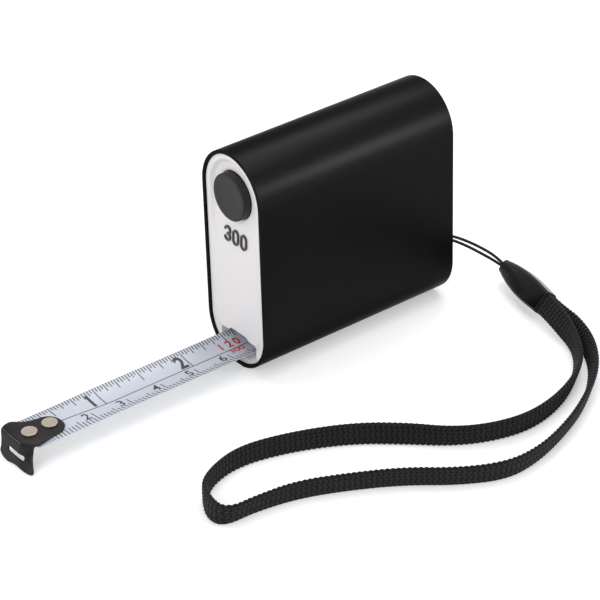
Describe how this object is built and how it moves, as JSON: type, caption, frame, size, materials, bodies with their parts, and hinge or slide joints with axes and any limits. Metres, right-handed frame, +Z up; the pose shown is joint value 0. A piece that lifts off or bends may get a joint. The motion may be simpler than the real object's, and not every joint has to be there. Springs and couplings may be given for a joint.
{
  "type": "tape measure",
  "caption": "Pocket tape measure: round-ended black aluminium sleeve, white end caps, brake button, half-inch blade drawn out to a riveted hook, wrist strap on a string loop.",
  "frame": {"origin": "middle of the flat strip along the underside of the sleeve", "axes": "the blade is drawn out along -X, +X points at the rear cap, +Z up, +Y away from the strap"},
  "size_m": [0.1435, 0.092, 0.0584],
  "materials": {
    "black_anodised": "satin black anodising, fine brushed grain along the length",
    "white_plastic": "semi-matt moulded white",
    "number_plastic": "matt black raised digits",
    "button_plastic": "fine matt dark grey",
    "case_plastic": "plain moulded black",
    "drum_plastic": "natural acetal",
    "blade_paint": "pale blue lacquered steel with printed scales, satin",
    "spring_steel": "blued spring steel",
    "steel": "plain ground steel",
    "rivet_nickel": "warm nickel plate, rolled edge",
    "hook_steel": "black satin coated sheet steel",
    "pad_rubber": "nitrile rubber",
    "guide_plastic": "slippery natural acetal",
    "ferrule_plastic": "glossy black moulding",
    "string_fabric": "thin black braided cord",
    "strap_fabric": "flat black herringbone braid"
  },
  "bodies": {
    "body": {"sleeve": "black_anodised", "front_cap": "white_plastic", "cap_number": "number_plastic", "rear_cap": "white_plastic", "cap_screws": "steel", "strap_pin": "steel", "case_left": "case_plastic", "case_right": "case_plastic", "case_screws": "steel", "arbor": "case_plastic", "lever_pin": "steel", "tape_guide": "guide_plastic", "brake_spring": "spring_steel", "string_loop": "string_fabric", "ferrule": "ferrule_plastic", "strap": "strap_fabric"},
    "spool": {"drum": "drum_plastic", "drum_lid": "drum_plastic", "tape_coil": "blade_paint", "mainspring": "spring_steel"},
    "blade": {"tape_strip": "blade_paint", "backing_plate": "steel", "rivets": "rivet_nickel"},
    "end_hook": {"hook": "hook_steel"},
    "push_button": {"button": "button_plastic"},
    "brake": {"brake_lever": "case_plastic", "brake_pad": "pad_rubber"}
  },
  "joints": [
    {"name": "spool_spin", "type": "hinge", "parent": "body", "child": "spool", "pos_m": [0.0031, 0, 0.02764], "axis": [0, -1, 0], "range_deg": [0, 168.5], "deforming": ["mainspring"]},
    {"name": "blade_slide", "type": "slide", "parent": "body", "child": "blade", "axis": [1, 0, 0], "range_m": [0, 0.063], "deforming": ["tape_strip"]},
    {"name": "hook_float", "type": "slide", "parent": "blade", "child": "end_hook", "axis": [1, 0, 0], "range_m": [-0.00025, 0.00025]},
    {"name": "button_press", "type": "slide", "parent": "body", "child": "push_button", "axis": [1, 0, 0], "range_m": [0, 0.002], "stiffness_N_per_m": 500, "springref_m": -0.001, "deforming": ["brake_spring"]},
    {"name": "brake_lift", "type": "hinge", "parent": "body", "child": "brake", "pos_m": [-0.0124, 0, 0.0088], "axis": [0, 1, 0], "range_deg": [0, 3.1]}
  ],
  "couplings": [
    {"joint": "blade_slide", "follows": "spool_spin", "m_per_rad": 0.0214},
    {"joint": "brake_lift", "follows": "button_press", "rad_per_m": 26.385}
  ]
}
